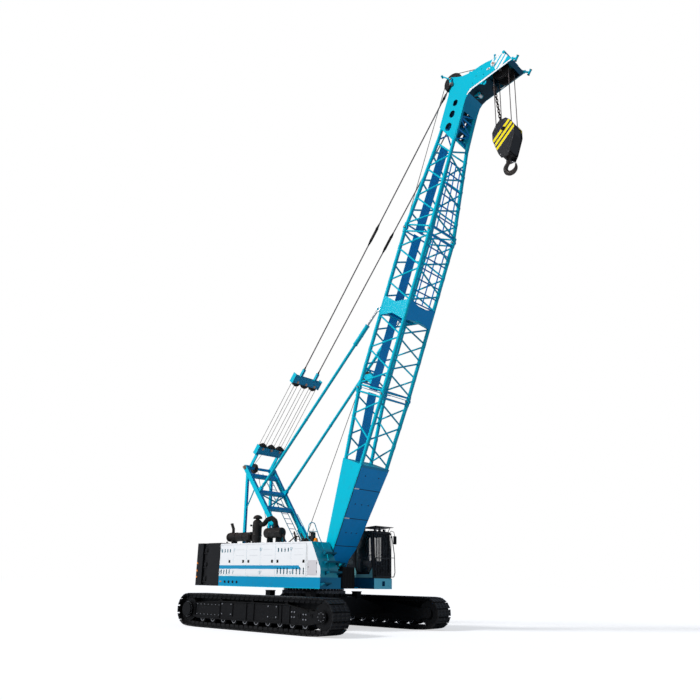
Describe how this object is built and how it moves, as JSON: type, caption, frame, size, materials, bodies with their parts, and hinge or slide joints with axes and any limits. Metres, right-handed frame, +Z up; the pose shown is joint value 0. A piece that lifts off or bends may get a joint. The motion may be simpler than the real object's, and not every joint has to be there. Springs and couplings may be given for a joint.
{
  "type": "dynamic compaction machine",
  "caption": "Crawler machine with a steep lattice boom, gantry, stays, back stops, block and hook, for lifting and dropping a heavy tamper.",
  "frame": {"origin": "on the slewing axis, at ground level under the tracks", "axes": "+X forward, the way the boom leans; +Y to the operator's left; +Z up"},
  "size_m": [15.3303, 6.715, 21.7336],
  "materials": {
    "undercarriage_black": "semi-matt black paint",
    "deck_blue": "gloss",
    "housing_white": "gloss",
    "boom_blue": "gloss",
    "counterweight_black": "semi-matt black paint",
    "cab_dark": "satin",
    "seat_fabric": "woven",
    "engine_grey": "matt",
    "rope_steel": "greased",
    "sheave_dark": "satin",
    "block_yellow": "gloss"
  },
  "bodies": {
    "undercarriage": {"track_right": "undercarriage_black", "track_left": "undercarriage_black", "track_frame_right": "undercarriage_black", "track_frame_left": "undercarriage_black", "drive_sprockets": "undercarriage_black", "idlers": "undercarriage_black", "idler_axles": "undercarriage_black", "bottom_rollers": "undercarriage_black", "carrier_rollers": "undercarriage_black", "final_drives": "undercarriage_black", "carbody": "undercarriage_black", "slewing_ring_fixed": "undercarriage_black"},
    "upper_works": {"slewing_ring_turning": "undercarriage_black", "revolving_frame": "deck_blue", "foot_pins": "engine_grey", "right_deck": "deck_blue", "left_deck": "deck_blue", "right_housing": "housing_white", "left_housing": "housing_white", "engine_block": "engine_grey", "counterweight": "counterweight_black", "cab_platform": "deck_blue", "cab_shell": "cab_dark", "cab_guard": "deck_blue", "operator_seat": "seat_fabric", "boarding_steps": "deck_blue", "muffler": "engine_grey", "air_cleaner": "cab_dark", "gantry_front_frame": "boom_blue", "gantry_rear_legs": "boom_blue"},
    "boom": {"boom_foot_section": "boom_blue", "boom_middle_section": "boom_blue", "boom_top_section": "boom_blue", "boom_head": "boom_blue"},
    "tip_sheaves": {"tip_sheaves": "sheave_dark"},
    "knee_sheave": {"knee_sheave": "sheave_dark"},
    "guide_sheave": {"guide_sheave": "sheave_dark"},
    "gantry_sheave": {"gantry_sheave": "sheave_dark"},
    "stays": {"pendants": "rope_steel", "upper_spreader": "boom_blue"},
    "lower_spreader": {"lower_spreader": "boom_blue"},
    "hoist_falls": {"hoist_falls": "rope_steel"},
    "hook_block": {"hook_block": "block_yellow"},
    "block_sheaves": {"block_sheaves": "sheave_dark"},
    "hook": {"hook": "block_yellow"},
    "main_winch": {"main_winch_drum": "engine_grey"},
    "luffing_winch": {"luffing_winch_drum": "engine_grey"},
    "cab_door": {"cab_door": "cab_dark"},
    "backstop_tube_right": {"backstop_tube_right": "boom_blue"},
    "backstop_rod_right": {"backstop_rod_right": "boom_blue"},
    "backstop_tube_left": {"backstop_tube_left": "boom_blue"},
    "backstop_rod_left": {"backstop_rod_left": "boom_blue"},
    "right_door_1": {"right_door_1": "housing_white"},
    "right_door_2": {"right_door_2": "housing_white"},
    "right_door_3": {"right_door_3": "housing_white"},
    "right_door_4": {"right_door_4": "housing_white"},
    "right_door_5": {"right_door_5": "housing_white"},
    "right_door_6": {"right_door_6": "housing_white"}
  },
  "joints": [
    {"name": "slewing", "type": "hinge", "parent": "undercarriage", "child": "upper_works", "pos_m": [0, 0, 1.36], "axis": [0, 0, 1], "continuous": true},
    {"name": "boom_luff", "type": "hinge", "parent": "upper_works", "child": "boom", "pos_m": [1, 0, 2.05], "axis": [0, -1, 0], "range_deg": [-3.4, 7.6]},
    {"name": "tip_sheave_spin", "type": "hinge", "parent": "boom", "child": "tip_sheaves", "pos_m": [9.35926, 0, 20.59461], "axis": [0, 1, 0], "continuous": true},
    {"name": "knee_sheave_spin", "type": "hinge", "parent": "boom", "child": "knee_sheave", "pos_m": [7.07634, 0, 21.31383], "axis": [0, 1, 0], "continuous": true},
    {"name": "guide_sheave_spin", "type": "hinge", "parent": "boom", "child": "guide_sheave", "pos_m": [2.57994, 0, 9.52187], "axis": [0, 1, 0], "continuous": true},
    {"name": "gantry_sheave_spin", "type": "hinge", "parent": "upper_works", "child": "gantry_sheave", "pos_m": [-3.51, 0, 6.33], "axis": [0, 1, 0], "continuous": true},
    {"name": "stay_pivot", "type": "hinge", "parent": "boom", "child": "stays", "pos_m": [7.31355, 0, 20.80803], "axis": [0, -1, 0], "range_deg": [-1, 1]},
    {"name": "lower_spreader_pivot", "type": "hinge", "parent": "upper_works", "child": "lower_spreader", "pos_m": [-3.51, 0, 6.33], "axis": [0, -1, 0], "range_deg": [-4, 8.5]},
    {"name": "rope_plumb", "type": "hinge", "parent": "boom", "child": "hoist_falls", "pos_m": [9.35926, 0, 20.59461], "axis": [0, -1, 0], "range_deg": [-8, 4]},
    {"name": "hook_hoist", "type": "slide", "parent": "hoist_falls", "child": "hook_block", "axis": [0, 0, 1], "range_m": [-15, 1], "deforming": ["hoist_falls"]},
    {"name": "block_sheave_spin", "type": "hinge", "parent": "hook_block", "child": "block_sheaves", "pos_m": [9.35926, 0, 17.95], "axis": [0, 1, 0], "continuous": true},
    {"name": "hook_swivel", "type": "hinge", "parent": "hook_block", "child": "hook", "pos_m": [9.35926, 0, 17.1], "axis": [0, 0, 1], "continuous": true},
    {"name": "main_winch_spin", "type": "hinge", "parent": "upper_works", "child": "main_winch", "pos_m": [-1, 0, 1.98], "axis": [0, 1, 0], "continuous": true},
    {"name": "luffing_winch_spin", "type": "hinge", "parent": "upper_works", "child": "luffing_winch", "pos_m": [-2.3, 0, 1.98], "axis": [0, 1, 0], "continuous": true},
    {"name": "cab_door_slide", "type": "slide", "parent": "upper_works", "child": "cab_door", "axis": [-1, 0, 0], "range_m": [0, 0.72]},
    {"name": "backstop_pivot_right", "type": "hinge", "parent": "upper_works", "child": "backstop_tube_right", "pos_m": [-2.5271, -0.74, 5.3778], "axis": [0, -1, 0], "range_deg": [-4, 8.2]},
    {"name": "backstop_slide_right", "type": "slide", "parent": "backstop_tube_right", "child": "backstop_rod_right", "axis": [0.6924, 0, 0.7216], "range_m": [-0.66, 0.3]},
    {"name": "backstop_pivot_left", "type": "hinge", "parent": "upper_works", "child": "backstop_tube_left", "pos_m": [-2.5271, 0.74, 5.3778], "axis": [0, -1, 0], "range_deg": [-4, 8.2]},
    {"name": "backstop_slide_left", "type": "slide", "parent": "backstop_tube_left", "child": "backstop_rod_left", "axis": [0.6924, 0, 0.7216], "range_m": [-0.66, 0.3]},
    {"name": "right_door_1_hinge", "type": "hinge", "parent": "upper_works", "child": "right_door_1", "pos_m": [-3.779, -1.66, 2.4], "axis": [0, 0, -1], "range_deg": [0, 85]},
    {"name": "right_door_2_hinge", "type": "hinge", "parent": "upper_works", "child": "right_door_2", "pos_m": [-2.957, -1.66, 2.4], "axis": [0, 0, -1], "range_deg": [0, 85]},
    {"name": "right_door_3_hinge", "type": "hinge", "parent": "upper_works", "child": "right_door_3", "pos_m": [-1.385, -1.66, 2.4], "axis": [0, 0, 1], "range_deg": [0, 85]},
    {"name": "right_door_4_hinge", "type": "hinge", "parent": "upper_works", "child": "right_door_4", "pos_m": [-1.331, -1.66, 2.4], "axis": [0, 0, -1], "range_deg": [0, 85]},
    {"name": "right_door_5_hinge", "type": "hinge", "parent": "upper_works", "child": "right_door_5", "pos_m": [0.301, -1.66, 2.4], "axis": [0, 0, 1], "range_deg": [0, 85]},
    {"name": "right_door_6_hinge", "type": "hinge", "parent": "upper_works", "child": "right_door_6", "pos_m": [0.355, -1.66, 2.4], "axis": [0, 0, -1], "range_deg": [0, 85]}
  ],
  "couplings": [
    {"joint": "stay_pivot", "follows": "boom_luff", "ratio": 0.05},
    {"joint": "lower_spreader_pivot", "follows": "boom_luff", "ratio": 1.05},
    {"joint": "rope_plumb", "follows": "boom_luff", "ratio": -1},
    {"joint": "backstop_pivot_right", "follows": "boom_luff", "ratio": 1.016},
    {"joint": "backstop_slide_right", "follows": "boom_luff", "m_per_rad": -4.84},
    {"joint": "backstop_pivot_left", "follows": "boom_luff", "ratio": 1.016},
    {"joint": "backstop_slide_left", "follows": "boom_luff", "m_per_rad": -4.84}
  ]
}
